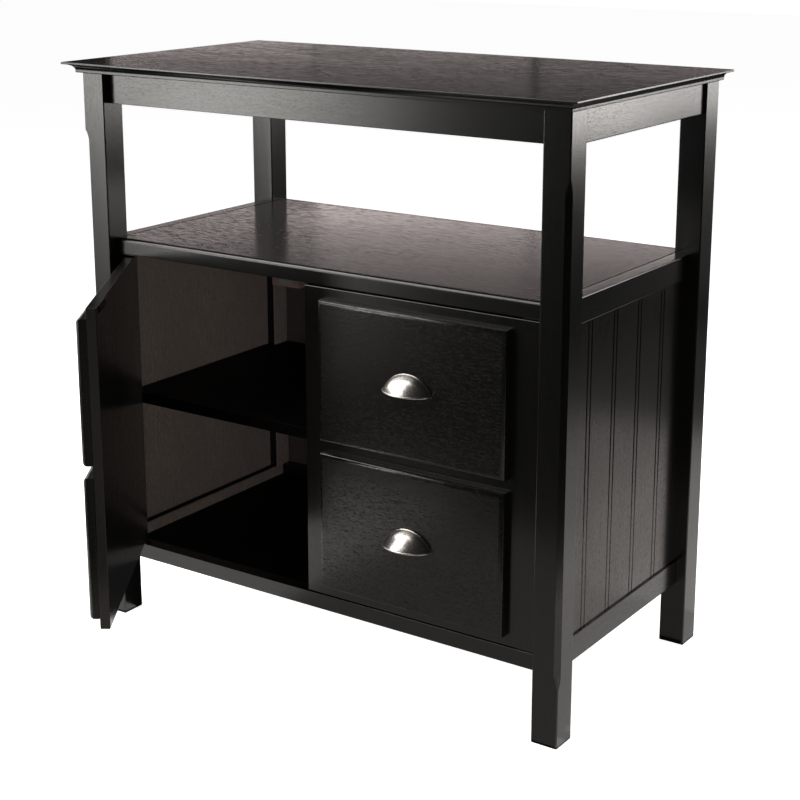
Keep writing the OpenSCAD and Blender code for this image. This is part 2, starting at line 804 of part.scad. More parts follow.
// Cup pull about the middle of its lower edge, opening down
module cup_pull_shape() {
    half = pull_w / 2;
    wall = pull_wall;
    axes = cup_axes(half, pull_out, pull_h);
    difference() {
        union() {
            intersection() {
                cup_ball(half, pull_out, pull_h);
                block([-half, -pull_out, 0], [half, 0, pull_h]);
            }
            intersection() {
                rotate([90, 0, 0]) linear_extrude(wall) translate([0, -pull_sink])
                    scale([axes[0] + pull_rim, axes[2] + pull_rim]) circle(r = 1, $fn = 64);
                block([-half - 2 * pull_rim, -wall, 0], [half + 2 * pull_rim, 0, pull_h + pull_rim]);
            }
        }
        difference() {
            intersection() {
                cup_ball(half - wall, pull_out - wall, pull_h - wall);
                block([-half, -pull_out, -over], [half, over, pull_h]);
            }
            for (x = [-1, 1]) translate([x * pull_screw_x, over, pull_screw_z])
                rotate([90, 0, 0]) cylinder(h = pull_out, r = pull_boss_r, $fn = 24);
        }
        for (x = [-1, 1]) translate([x * pull_screw_x, over, pull_screw_z])
            rotate([90, 0, 0]) cylinder(h = pull_thread + 2 * over, r = screw_r + screw_clear, $fn = 24);
    }
}

// Screw of a pull, its head's face at the origin, pointing down
module pull_screw(grow = 0) {
    length = front_t - pull_sunk + pull_thread;
    translate([0, 0, -length - grow]) cylinder(h = length + grow, r = screw_r + grow);
    translate([0, 0, -grow]) cylinder(h = grow > 0 ? pull_sunk + over : pull_head_h, r = screw_head + grow);
}

// Places of a pull's screws in the back of its front, pointing towards the pull
module pull_screw_places(side, low) {
    at = pull_at(side, low);
    for (x = [-1, 1])
        translate([at[0] + x * pull_screw_x, door_y - pull_sunk, at[2] + pull_screw_z])
            rotate([-90, 0, 0]) children();
}

// Screws of both pulls on a door
module pull_screws(side) {
    color(steel) on_door(side) for (low = front_lows) pull_screw_places(side, low) pull_screw();
}

// Slab in its place
module door_slab(side) {
    color(lacquer) on_door(side) door_slab_closed(side);
}

// Raised front in its place
module raised_front(side, low) {
    color(lacquer) on_door(side) raised_front_closed(side, low);
}

// Cup pull in its place
module cup_pull(side, low) {
    color(nickel) on_door(side) translate(pull_at(side, low)) cup_pull_shape();
}

// Plates let into a door's upper and lower edges, each with the pin's hole
module pivot_plates(side) {
    color(steel) on_door(side) for (z = [door_low, door_high - leaf_t]) difference() {
        translate([side * plate_mid - leaf_l / 2, pivot_y - leaf_w / 2, z]) cube([leaf_l, leaf_w, leaf_t]);
        translate([side * pivot_x, pivot_y, z - over])
            cylinder(h = leaf_t + 2 * over, r = pin_r + pin_clear);
    }
}

// Strike plate on a door's inner face
module strike(side) {
    low_x = side < 0 ? -catch_x - catch_w : catch_x;
    color(steel) on_door(side)
        translate([low_x, door_inner_y, strike_low]) cube([catch_w, strike_t, strike_h]);
}

// Catches

// Block behind the front shelf rail that carries the catches
module catch_block() {
    half = catch_x + catch_w + catch_block_over;
    color(lacquer_inside) difference() {
        block([-half, catch_block_y, catch_top],
            [half, catch_block_y + catch_block_d, catch_block_high]);
        catch_screw_places() wood_screw(catch_screw_l, screw_clear);
    }
}

// Places of the catches' screws, pointing up from below
module catch_screw_places() {
    for (side = [-1, 1], x = [catch_screw_in, catch_w - catch_screw_in])
        translate([side * (catch_x + x), catch_y + catch_d - catch_screw_back, catch_top - catch_h])
            mirror([0, 0, 1]) children();
}

// Space for the magnet in a catch's front
module magnet_space(side, grow = 0) {
    mid = side * (catch_x + catch_w / 2);
    mid_z = catch_top - catch_h / 2;
    block([mid - magnet_w / 2 - grow, catch_y - (grow > 0 ? over : 0), mid_z - magnet_h / 2 - grow],
        [mid + magnet_w / 2 + grow, catch_y + magnet_d + grow, mid_z + magnet_h / 2 + grow]);
}

// Cases of the two magnetic catches
module catch_cases() {
    color(catch_brown) for (side = [-1, 1]) difference() {
        translate([side * (catch_x + catch_w / 2) - catch_w / 2, catch_y, catch_top - catch_h])
            cube([catch_w, catch_d, catch_h]);
        magnet_space(side, joint_gap);
        catch_screw_places() wood_screw(catch_screw_l, screw_clear);
    }
}

// Magnets of the catches
module catch_magnets() {
    color(steel) for (side = [-1, 1]) magnet_space(side);
}

// Screws of the catches
module catch_screws() {
    color(steel) catch_screw_places() wood_screw(catch_screw_l);
}

top_panel();
leg(-1, -1);  // leg_front_left
leg(1, -1);  // leg_front_right
leg(-1, 1);  // leg_rear_left
leg(1, 1);  // leg_rear_right
color(lacquer) cross_rail(apron_front, -1);
color(lacquer) cross_rail(apron_rear, 1);
apron_side_piece(-1);  // apron_left
apron_side_piece(1);  // apron_right
top_cleats();
top_screws();
shelf_rail_front();
rear_rail(shelf_rear, shelf_t);  // shelf_rail_rear
shelf_side_piece(-1);  // shelf_rail_left
shelf_side_piece(1);  // shelf_rail_right
open_shelf();
base_rail_front();
rear_rail(base_rear);  // base_rail_rear
base_side_piece(-1);  // base_rail_left
base_side_piece(1);  // base_rail_right
cupboard_floor();
floor_cleats();
side_panel(-1);  // side_panel_left
side_panel(1);  // side_panel_right
back_panel();
back_screws();
inner_shelf();
shelf_pins();
pivot_pins(-1);  // left_pivot_pins
pivot_pins(1);  // right_pivot_pins
leaf_screws();
catch_block();
catch_cases();
catch_magnets();
catch_screws();
door_slab(-1);  // left_door_slab
raised_front(-1, front_lows[0]);  // left_upper_front
raised_front(-1, front_lows[1]);  // left_lower_front
cup_pull(-1, front_lows[0]);  // left_upper_pull
cup_pull(-1, front_lows[1]);  // left_lower_pull
dowels(-1);  // left_dowels
pull_screws(-1);  // left_pull_screws
pivot_plates(-1);  // left_pivot_plates
strike(-1);  // left_strike
door_slab(1);  // right_door_slab
raised_front(1, front_lows[0]);  // right_upper_front
raised_front(1, front_lows[1]);  // right_lower_front
cup_pull(1, front_lows[0]);  // right_upper_pull
cup_pull(1, front_lows[1]);  // right_lower_pull
dowels(1);  // right_dowels
pull_screws(1);  // right_pull_screws
pivot_plates(1);  // right_pivot_plates
strike(1);  // right_strike
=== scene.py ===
"""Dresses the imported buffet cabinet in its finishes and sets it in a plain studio.

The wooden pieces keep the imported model's shapes, those that show with their edges eased, under a
near-black lacquer on open-grained wood. The cup pulls are modelled here in more detail. Cleats,
screws, pins, leaves, plates, dowels and catches stay as packed and get finishes alone.
"""

import logging
import math
from dataclasses import dataclass, replace
from enum import Enum
from typing import Any, Callable, Optional, Union

import bmesh
import bpy
from mathutils import Matrix, Vector


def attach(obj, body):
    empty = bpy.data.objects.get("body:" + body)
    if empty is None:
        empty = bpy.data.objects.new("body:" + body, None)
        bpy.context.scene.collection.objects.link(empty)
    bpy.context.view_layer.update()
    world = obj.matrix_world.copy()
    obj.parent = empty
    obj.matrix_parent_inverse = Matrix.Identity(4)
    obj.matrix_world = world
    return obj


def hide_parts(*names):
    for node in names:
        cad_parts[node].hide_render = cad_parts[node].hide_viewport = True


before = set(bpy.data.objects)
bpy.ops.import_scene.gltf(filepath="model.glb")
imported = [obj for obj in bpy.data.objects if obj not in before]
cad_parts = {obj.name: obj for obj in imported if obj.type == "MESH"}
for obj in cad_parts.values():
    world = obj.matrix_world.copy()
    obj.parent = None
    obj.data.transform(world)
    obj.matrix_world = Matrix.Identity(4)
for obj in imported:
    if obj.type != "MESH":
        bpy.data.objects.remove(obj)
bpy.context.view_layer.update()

LOG = logging.getLogger("buffet_cabinet")

Colour = tuple[float, float, float, float]
Tint = tuple[float, float, float]
Point = tuple[float, float, float]
Pair = tuple[float, float]

WHITE: Colour = (1.0, 1.0, 1.0, 1.0)
# Distance in metres under which two points of a mesh are one.
WELD = 1e-6


class Run(Enum):
    """Direction of the wood's grain, with 1 for the axis that it follows."""

    ALONG_X = (1, 0, 0)
    ALONG_Y = (0, 1, 0)
    ALONG_Z = (0, 0, 1)


class Layer(Enum):
    """Layer of the grain: its noise's detail and roughness, then where it starts and is full."""

    DASH = (2.0, 0.55, 0.46, 0.66)
    THREAD = (3.0, 0.6, 0.36, 0.70)
    WASH = (2.0, 0.5, 0.30, 0.72)


class Slot(Enum):
    """Material slots of the record."""

    LACQUER = "black_lacquer"
    INSIDE = "inside_lacquer"
    NICKEL = "nickel"
    STEEL = "steel"
    CASE = "catch_case"
    BEECH = "beech"


class Side(Enum):
    """Side of the cabinet, as the names of its door's nodes begin."""

    LEFT = "left"
    RIGHT = "right"


class Facing(Enum):
    """Way that an upper edge looks along X: away from the cabinet's middle or towards it."""

    OUT = 1.0
    IN = -1.0


class Reach(Enum):
    """What a light acts on: whether the gloss mirrors it, then whether it lights plain surfaces."""

    BOTH = (True, True)
    GLOSS = (True, False)
    PLAIN = (False, True)


class Shade:
    """A shader socket that takes part in arithmetic."""

    def __init__(self, graph: "Graph", socket: bpy.types.NodeSocket) -> None:
        """Keeps the socket.

        Args:
            graph: the node graph that the socket belongs to.
            socket: an output socket.
        """
        self.graph = graph
        self.socket = socket

    def __add__(self, other: "Value") -> "Shade":
        """Sum."""
        return self.graph.maths("ADD", self, other)

    def __mul__(self, other: "Value") -> "Shade":
        """Product."""
        return self.graph.maths("MULTIPLY", self, other)

    __radd__ = __add__
    __rmul__ = __mul__

    def over(self, other: "Shade", share: float) -> "Shade":
        """Weighs the value against another, with its own share of 1."""
        return self * share + other * (1.0 - share)

    def lifted(self, amount: float) -> "Shade":
        """Draws the value towards 1, so that 0 becomes 1 less the amount."""
        return (1.0 - amount) + self * amount


Value = Union[Shade, float]


class Graph:
    """The nodes of one material or world."""

    # The Mix node repeats its sockets' names for each kind of data, so its colours go by number.
    MIX_SHARE, MIX_LOW, MIX_HIGH = 0, 6, 7
    MIX_RESULT = 2

    def __init__(self, owner: Union[bpy.types.Material, bpy.types.World]) -> None:
        """Starts an empty graph.

        Args:
            owner: the material or world.
        """
        owner.use_nodes = True
        self.tree = owner.node_tree
        self.tree.nodes.clear()

    def node(self, kind: str, settings: Optional[dict[str, Any]] = None,
             values: Optional[dict[Union[str, int], Any]] = None,
             out: Union[str, int] = 0) -> Shade:
        """Adds a node.

        Args:
            kind: the node's type.
            settings: its attributes, which are set first.
            values: numbers, colours or sockets by the input's name or number.
            out: the output to hand back.

        Returns:
            The output socket.
        """
        made = self.tree.nodes.new(kind)
        for name, setting in (settings or {}).items():
            setattr(made, name, setting)
        for name, value in (values or {}).items():
            if isinstance(value, Shade):
                self.tree.links.new(value.socket, made.inputs[name])
            else:
                made.inputs[name].default_value = value
        return Shade(self, made.outputs[out])

    def maths(self, operation: str, *terms: Value) -> Shade:
        """Adds a Math node on the terms."""
        return self.node("ShaderNodeMath", {"operation": operation}, dict(enumerate(terms)))

    def blend(self, low: Colour, high: Colour, share: Value) -> Shade:
        """Mixes two colours.

        Args:
            low: colour where share is 0.
            high: colour where share is 1.
            share: how much of high there is.

        Returns:
            The mixed colour.
        """
        return self.node("ShaderNodeMix", {"data_type": "RGBA"},
                         {self.MIX_SHARE: share, self.MIX_LOW: low, self.MIX_HIGH: high},
                         out=self.MIX_RESULT)

    def band(self, value: Shade, start: float, full: float) -> Shade:
        """Eases a value from 0 at start to 1 at full."""
        return self.node("ShaderNodeMapRange", {"interpolation_type": "SMOOTHSTEP"},
                         {"Value": value, "From Min": start, "From Max": full})

    def cells(self, size: Point, detail: float, roughness: float = 0.5, turn: float = 0.0) -> Shade:
        """Noise whose cells have a given size in metres.

        Args:
            size: size of a cell along X, Y and Z.
            detail: the noise's detail.
            roughness: the noise's roughness.
            turn: angle about Z that the piece stands at.

        Returns:
            The noise, about 0.5 in the middle.
        """
        place = self.node("ShaderNodeTexCoord", out="Object")
        place = self.node("ShaderNodeMapping", {"vector_type": "TEXTURE"},
                          {"Vector": place, "Rotation": (0.0, 0.0, turn), "Scale": size})
        return self.node("ShaderNodeTexNoise", {},
                         {"Vector": place, "Scale": 1.0, "Detail": detail, "Roughness": roughness},
                         out="Fac")

    def bump(self, height: Shade, strength: float, distance: float) -> Shade:
        """Tilts the surface as a height does, which counts in shares of the distance."""
        return self.node("ShaderNodeBump", {},
                         {"Strength": strength, "Distance": distance, "Height": height},
                         out="Normal")

    def mixed(self, first: Shade, second: Shade, share: Shade) -> Shade:
        """Mixes two shaders, with a share of the second."""
        return self.node("ShaderNodeMixShader", {}, {0: share, 1: first, 2: second})

    def shader(self, **values: Any) -> Shade:
        """Adds a Principled shader, with its inputs' names written with underscores."""
        return self.node("ShaderNodeBsdfPrincipled", {},
                         {name.replace("_", " "): value for name, value in values.items()},
                         out="BSDF")

    def end(self, kind: str, name: str, shader: Shade) -> None:
        """Adds the output node, which has no output socket of its own.

        Args:
            kind: the node's type.
            name: its name.
            shader: what it shows.
        """
        made = self.tree.nodes.new(kind)
        made.name = name
        self.tree.links.new(shader.socket, made.inputs["Surface"])

    def surface(self, name: str, shader: Shade) -> None:
        """Ends a material's graph in a shader."""
        self.end("ShaderNodeOutputMaterial", name, shader)


@dataclass(frozen=True)
class Covering:
    """A covering that makes its material once.

    Attributes:
        name: name of the material.
    """

    name: str

    def material(self) -> bpy.types.Material:
        """Makes the material, or finds the one made before.

        Returns:
            The material.
        """
        made = bpy.data.materials.get(self.name)
        if made is None:
            made = bpy.data.materials.new(self.name)
            self.draw(Graph(made))
        return made

    def draw(self, graph: Graph) -> None:
        """Fills the material's graph."""
        raise NotImplementedError


@dataclass(frozen=True)
class Finish(Covering):
    """A covering of the cabinet.

    Attributes:
        slot: slot of the record that it belongs to; not used.
    """

    slot: Slot


@dataclass(frozen=True)
class Lacquer(Finish):
    """Near-black lacquer over wood, with the dashes, long lines and broad streaks of its grain.

    Attributes:
        run: direction of the grain.
        turn: angle about Z that the piece stands at.
        open_grain: how far the grain shows, 0 to 1.
        body: colour of the wood between the pores.
        streak: colour of its lighter streaks.
        gloss: roughness of the film.
        sheen: tint of the film's reflection seen square-on.
        shine: how strongly the film reflects, 0.5 for a usual lacquer.
        index: refractive index of the film.
        fleck: length and breadth of the grain's dashes.
        line: length and breadth of its long lines.
        cloud: length and breadth of its broad streaks.
        relief: how strongly the pores tilt the surface.
        groove: depth of the pores.
        shallow: depth of the long lines, as a share of the dashes'.
        depth: how much of the film's reflection the pores take away.
        roughened: how much the dashes, the long lines and the broad streaks roughen the film.
        closed: shares of the colour and of the relief that stay where the grain doesn't show.
        dashed: shares of the dashes, against the long lines, in the colour and in the pores.
        clouded: how far the broad streaks change the colour and the pores.
        dull: roughness of a bare pore, and how strongly it reflects.
    """

    run: Run = Run.ALONG_X
    turn: float = 0.0
    open_grain: float = 1.0
    body: Colour = (0.0030, 0.0024, 0.0021, 1.0)
    streak: Colour = (0.0090, 0.0066, 0.0056, 1.0)
    gloss: float = 0.17
    sheen: Colour = (1.0, 0.86, 0.80, 1.0)
    shine: float = 0.5
    index: float = 1.5
    fleck: Pair = (0.0070, 0.0017)
    line: Pair = (0.036, 0.0026)
    cloud: Pair = (0.40, 0.10)
    relief: float = 0.30
    groove: float = 0.00009
    shallow: float = 0.5
    depth: float = 0.5
    roughened: tuple[float, float, float] = (0.08, 0.04, 0.02)
    closed: Pair = (0.3, 0.02)
    dashed: Pair = (0.6, 0.65)
    clouded: Pair = (0.4, 0.45)
    dull: Pair = (0.6, 0.06)

    def layer(self, graph: Graph, layer: Layer, size: Pair) -> Shade:
        """Draws one layer of the grain.

        Args:
            graph: the material's graph.
            layer: the layer.
            size: length and breadth of its cells.

        Returns:
            The layer, from 0 to 1.
        """
        detail, roughness, start, full = layer.value
        cell = tuple(size[0] if follows else size[1] for follows in self.run.value)
        return graph.band(graph.cells(cell, detail, roughness, self.turn), start, full)

    def draw(self, graph: Graph) -> None:
        """Fills the material's graph with a film that the pores break.

        Args:
            graph: the material's graph.
        """
        dash = self.layer(graph, Layer.DASH, self.fleck)
        thread = self.layer(graph, Layer.THREAD, self.line)
        wash = self.layer(graph, Layer.WASH, self.cloud)

        closed_tone, closed_relief = self.closed
        light = dash.over(thread, self.dashed[0]) * wash.lifted(self.clouded[0])
        tone = light * (closed_tone + (1.0 - closed_tone) * self.open_grain)
        colour = graph.blend(self.body, self.streak, tone)
        normal = graph.bump(dash + thread * self.shallow,
                            self.relief * self.open_grain + closed_relief, self.groove)

        by_dash, by_thread, by_wash = self.roughened
        by_grain = (dash * by_dash + thread * by_thread) * self.open_grain
        film = graph.shader(Base_Color=colour, Normal=normal, IOR=self.index,
                            Roughness=self.gloss + by_grain + wash * by_wash,
                            Specular_IOR_Level=self.shine, Specular_Tint=self.sheen)
        rough, reflecting = self.dull
        pore = graph.shader(Base_Color=colour, Roughness=rough, Specular_IOR_Level=reflecting)
        share = dash.over(thread, self.dashed[1]) * (wash.lifted(self.clouded[1]) * self.depth)
        graph.surface(self.name, graph.mixed(film, pore, share))


@dataclass(frozen=True)
class SatinNickel(Finish):
    """Satin nickel plate with the fine scratches of its brushing.

    Attributes:
        turn: angle about Z that the piece stands at.
        bright: colour of the plate.
        dull: colour of its duller patches.
        dulled: how far the patches reach that colour.
        scratch: size of a scratch along X, Y and Z of the closed door.
        patch: size of a patch along X, Y and Z.
        gloss: roughness between the scratches.
        scratched: how much rougher a scratch is.
    """

    turn: float = 0.0
    bright: Colour = (0.64, 0.595, 0.56, 1.0)
    dull: Colour = (0.50, 0.455, 0.425, 1.0)
    dulled: float = 0.5
    scratch: Point = (0.012, 0.00035, 0.00035)
    patch: Point = (0.02, 0.02, 0.02)
    gloss: float = 0.23
    scratched: float = 0.08

    def draw(self, graph: Graph) -> None:
        """Fills the material's graph.

        Args:
            graph: the material's graph.
        """
        brush = graph.cells(self.scratch, detail=2.0, turn=self.turn)
        patch = graph.cells(self.patch, detail=2.0, turn=self.turn)
        dulled = graph.band(patch, start=0.35, full=0.75) * self.dulled
        graph.surface(self.name, graph.shader(
            Base_Color=graph.blend(self.bright, self.dull, dulled), Metallic=1.0,
            Roughness=self.gloss + self.scratched * graph.band(brush, start=0.3, full=0.7),
            Normal=graph.bump(brush, strength=0.12, distance=0.0001)))


@dataclass(frozen=True)
class Mottled(Finish):
    """A finish whose colour and roughness vary in small patches.

    Attributes:
        dark: colour of its dark patches.
        pale: colour of its pale patches.
        patch: size of a patch along X, Y and Z.
        detail: how finely the patches are broken up.
        gloss: roughness of its smoothest places.
        spread: how much rougher its roughest places are.
    """

    dark: Colour
    pale: Colour
    patch: Point
    detail: float
    gloss: float
    spread: float

    def draw(self, graph: Graph) -> None:
        """Fills the material's graph with the patches alone.

        Args:
            graph: the material's graph.
        """
        patch = graph.cells(self.patch, self.detail)
        graph.surface(self.name, graph.shader(Base_Color=graph.blend(self.dark, self.pale, patch),
                                              Roughness=self.gloss + patch * self.spread))


@dataclass(frozen=True)
class PlatedSteel(Mottled):
    """Plated steel, as on pressed hinge parts and screws."""

    dark: Colour = (0.42, 0.41, 0.39, 1.0)
    pale: Colour = (0.60, 0.59, 0.57, 1.0)
    patch: Point = (0.004, 0.004, 0.004)
    detail: float = 4.0
    gloss: float = 0.34
    spread: float = 0.14

    def draw(self, graph: Graph) -> None:
        """Fills the material's graph with a metal.

        Args:
            graph: the material's graph.
        """
        patch = graph.cells(self.patch, self.detail)
        share = graph.band(patch, start=0.35, full=0.65)
        graph.surface(self.name, graph.shader(
            Base_Color=graph.blend(self.dark, self.pale, share), Metallic=1.0,
            Roughness=self.gloss + patch * self.spread,
            Normal=graph.bump(patch, strength=0.15, distance=0.0001)))


@dataclass(frozen=True)
class MouldedCase(Mottled):
    """Moulded brown plastic of the magnetic catches, painted darker than the plastic is, for the
    shade under the shelf rail that they sit in.
    """

    dark: Colour = (0.026, 0.011, 0.008, 1.0)
    pale: Colour = (0.040, 0.018, 0.013, 1.0)
    patch: Point = (0.0006, 0.0006, 0.0006)
    detail: float = 1.0
    gloss: float = 0.42
    spread: float = 0.12

    def draw(self, graph: Graph) -> None:
        """Fills the material's graph with a plastic that its mould left rough.

        Args:
            graph: the material's graph.
        """
        speck = graph.cells(self.patch, self.detail)
        graph.surface(self.name, graph.shader(
            Base_Color=graph.blend(self.dark, self.pale, speck),
            Roughness=self.gloss + speck * self.spread,
            Normal=graph.bump(speck, strength=0.2, distance=0.00006)))


@dataclass(frozen=True)
class Ferrite(Mottled):
    """Dark grey ferrite of the catches' magnets."""

    dark: Colour = (0.028, 0.027, 0.026, 1.0)
    pale: Colour = (0.045, 0.043, 0.042, 1.0)
    patch: Point = (0.0008, 0.0008, 0.0008)
    detail: float = 3.0
    gloss: float = 0.48
    spread: float = 0.14


@dataclass(frozen=True)
class PlainBeech(Mottled):
    """Unfinished beech of the dowels, with small flecks along Y."""

    dark: Colour = (0.52, 0.35, 0.21, 1.0)
    pale: Colour = (0.66, 0.48, 0.32, 1.0)
    patch: Point = (0.0009, 0.006, 0.0009)
    detail: float = 2.0
    gloss: float = 0.62
    spread: float = 0.1


@dataclass(frozen=True)
class PalePaper(Covering):
    """Pale paper of the studio floor, which shines a little so that it meets the white behind it.

    Attributes:
        dark: its darker grey.
        pale: its paler grey.
        cloud: size of its clouds along X, Y and Z.
        gloss: its roughness.
        glow: how strongly it shines.
    """

    dark: Colour = (0.80, 0.80, 0.80, 1.0)
    pale: Colour = (0.84, 0.84, 0.84, 1.0)
    cloud: Point = (0.3, 0.3, 0.3)
    gloss: float = 0.9
    glow: float = 0.965

    def draw(self, graph: Graph) -> None:
        """Fills the material's graph.

        Args:
            graph: the material's graph.
        """
        colour = graph.blend(self.dark, self.pale, graph.cells(self.cloud, detail=2.0))
        graph.surface(self.name, graph.shader(Base_Color=colour, Roughness=self.gloss,
                                              Emission_Color=WHITE, Emission_Strength=self.glow))


NEUTRAL: Colour = (1.0, 0.98, 0.96, 1.0)
BOARD = Lacquer("lacquer_board", Slot.LACQUER, Run.ALONG_X, body=(0.004, 0.003, 0.0027, 1.0),
                streak=(0.018, 0.0138, 0.0122, 1.0), gloss=0.15, fleck=(0.015, 0.0030),
                line=(0.050, 0.0040), relief=0.015, depth=0.72)
LEG = Lacquer("lacquer_leg", Slot.LACQUER, Run.ALONG_Z, open_grain=0.25, depth=0.28, gloss=0.19,
              body=(0.0024, 0.0022, 0.0021, 1.0), streak=(0.0050, 0.0044, 0.0041, 1.0),
              sheen=NEUTRAL)
LONG_RAIL = replace(LEG, name="lacquer_long_rail", run=Run.ALONG_X)
SHORT_RAIL = replace(LEG, name="lacquer_short_rail", run=Run.ALONG_Y)
SIDE_PANEL = Lacquer("lacquer_side_panel", Slot.LACQUER, Run.ALONG_Z, open_grain=0.7, depth=0.55,
                     body=LEG.body, streak=(0.0075, 0.0066, 0.0061, 1.0))
DARK_INSIDE = Lacquer("lacquer_inside", Slot.INSIDE, Run.ALONG_X, gloss=0.45, shine=0.06,
                      body=(0.0007, 0.0005, 0.0005, 1.0), streak=(0.0014, 0.0011, 0.0010, 1.0))
# Brown stain inside the cupboard's sides, painted lighter than the back panel's as light falling in
# through the opening.
WALL_STAIN_AND_PAINTED_LIGHT = Lacquer("stain_inside", Slot.INSIDE, Run.ALONG_Z, open_grain=0.7, gloss=0.42,
                     body=(0.064, 0.051, 0.045, 1.0), streak=(0.190, 0.154, 0.137, 1.0))
BACK_STAIN = Lacquer("stain_back", Slot.INSIDE, Run.ALONG_Z, open_grain=0.7, gloss=0.42,
                     body=(0.030, 0.026, 0.024, 1.0), streak=(0.055, 0.048, 0.045, 1.0))
# The doors' finishes take the side's name and turn with the door.
DOOR_SLAB = Lacquer("lacquer_{}_slab", Slot.LACQUER, Run.ALONG_Z, open_grain=0.3, depth=0.3,
                    body=(0.0025, 0.0023, 0.0022, 1.0), streak=(0.0065, 0.0057, 0.0053, 1.0),
                    sheen=NEUTRAL)
# The slab's rear face and edges get a lighter body than its front: painted light on faces that the
# lamps barely reach.
DOOR_BACK_WITH_PAINTED_LIGHT = Lacquer("lacquer_{}_rear", Slot.LACQUER, Run.ALONG_Z, open_grain=0.3,
                    body=(0.0130, 0.0124, 0.0120, 1.0), streak=(0.0210, 0.0200, 0.0194, 1.0))
RAISED_FRONT = Lacquer("lacquer_{}_front", Slot.LACQUER, Run.ALONG_X, depth=0.85,
                       body=(0.0026, 0.0024, 0.0023, 1.0), streak=(0.0080, 0.0071, 0.0066, 1.0),
                       sheen=NEUTRAL)
NICKEL = SatinNickel("nickel_{}", Slot.NICKEL)
ZINC = PlatedSteel("zinc_steel", Slot.STEEL)
BROWNED = PlatedSteel("browned_steel", Slot.STEEL, dark=(0.020, 0.019, 0.018, 1.0),
                      pale=(0.034, 0.032, 0.031, 1.0))
MAGNET = Ferrite("ferrite", Slot.STEEL)
CASE = MouldedCase("case_brown", Slot.CASE)
DOWEL = PlainBeech("plain_beech", Slot.BEECH)


def piece(mesh: bmesh.types.BMesh, name: str, body: str, finish: Finish,
          *nodes: str) -> bpy.types.Object:
    """Makes a finished piece of a mesh.

    Args:
        mesh: the shape, in its place; it is used up.
        name: name of the piece.
        body: body that it rides on.
        finish: its finish.
        nodes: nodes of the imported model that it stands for.

    Returns:
        The piece.
    """
    data = bpy.data.meshes.new(name)
    mesh.to_mesh(data)
    mesh.free()
    made = bpy.data.objects.new(name, data)
    bpy.context.scene.collection.objects.link(made)
    data.materials.append(finish.material())
    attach(made, body)
    if nodes:
        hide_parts(*nodes)
    LOG.info("%s on %s", name, body)
    return made


def ordered(shape: bmesh.types.BMesh) -> None:
    """Sorts a mesh's edges and faces by place, because spin's order differs from run to run.

    Args:
        shape: the mesh, with its doubles merged.
    """
    for parts in (shape.edges, shape.faces):
        by_place = sorted(parts, key=lambda part: sorted(vert.co[:] for vert in part.verts))
        ranks = {part: rank for rank, part in enumerate(by_place)}
        parts.sort(key=ranks.get)


def smooth(made: bpy.types.Object, sharp: float = math.radians(40.0)) -> bpy.types.Object:
    """Shades a piece smooth, with its flat faces kept flat.

    Args:
        made: the piece.
        sharp: angle past which an edge stays sharp.

    Returns:
        The piece.
    """
    made.data.polygons.foreach_set("use_smooth", [True] * len(made.data.polygons))
    made.data.set_sharp_from_angle(angle=sharp)
    even = made.modifiers.new("even_normals", "WEIGHTED_NORMAL")
    even.keep_sharp = True
    even.weight = 100
    return made


@dataclass
class Assembly:
    """A group of pieces that one body carries.

    Attributes:
        body: name of the body.
        shortest: length under which an edge stays as it is, because it lies in a joint.
        corner: angle past which an edge is rounded over.
        flat: angle under which two faces are one.
        rounds: steps of the rounding.
    """

    body: str = "cabinet"
    shortest: float = 0.012
    corner: float = math.radians(40.0)
    flat: float = math.radians(0.4)
    rounds: int = 3

    def eased(self, node: str, finish: Finish, edge: float) -> bpy.types.Object:
        """Copies a wooden node with its outer edges rounded over.

        Args:
            node: the node.
            finish: its finish.
            edge: width of the rounding.

        Returns:
            The piece that stands for the node.
        """
        shape = bmesh.new()
        shape.from_mesh(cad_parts[node].data)
        bmesh.ops.remove_doubles(shape, verts=shape.verts, dist=WELD)
        bmesh.ops.dissolve_limit(shape, angle_limit=self.flat, verts=shape.verts, edges=shape.edges)
        corners = [line for line in shape.edges
                   if line.is_manifold and line.is_convex and line.calc_length() > self.shortest
                   and line.calc_face_angle(0.0) > self.corner]
        bmesh.ops.bevel(shape, geom=corners, offset=edge, offset_type="OFFSET",
                        segments=self.rounds, profile=0.5, affect="EDGES", clamp_overlap=False,
                        material=-1)
        return smooth(piece(shape, f"{node}_eased", self.body, finish, node))

    def faced(self, made: bpy.types.Object, finish: Finish,
              chosen: Callable[[bmesh.types.BMFace], bool],
              cuts: tuple[float, ...] = ()) -> bpy.types.Object:
        """Gives some faces of a piece one more finish.

        Args:
            made: the piece.
            finish: the new finish.
            chosen: says whether a face gets it.
            cuts: heights at which faces are divided first.

        Returns:
            The piece.
        """
        shape = bmesh.new()
        shape.from_mesh(made.data)
        for height in cuts:
            bmesh.ops.bisect_plane(shape, geom=shape.verts[:] + shape.edges[:] + shape.faces[:],
                                   dist=WELD, plane_co=(0.0, 0.0, height), plane_no=(0.0, 0.0, 1.0))
        for face in filter(chosen, shape.faces):
            face.material_index = len(made.data.materials)
        shape.to_mesh(made.data)
        shape.free()
        made.data.materials.append(finish.material())
        return made

    def dress(self, finish: Finish, *nodes: str) -> None:
        """Gives nodes that keep their shape a finish.

        Args:
            finish: the finish.
            nodes: the nodes.
        """
        for node in nodes:
            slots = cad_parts[node].data.materials
            slots.clear()
            slots.append(finish.material())
            LOG.info("%s kept, in %s", node, finish.name)


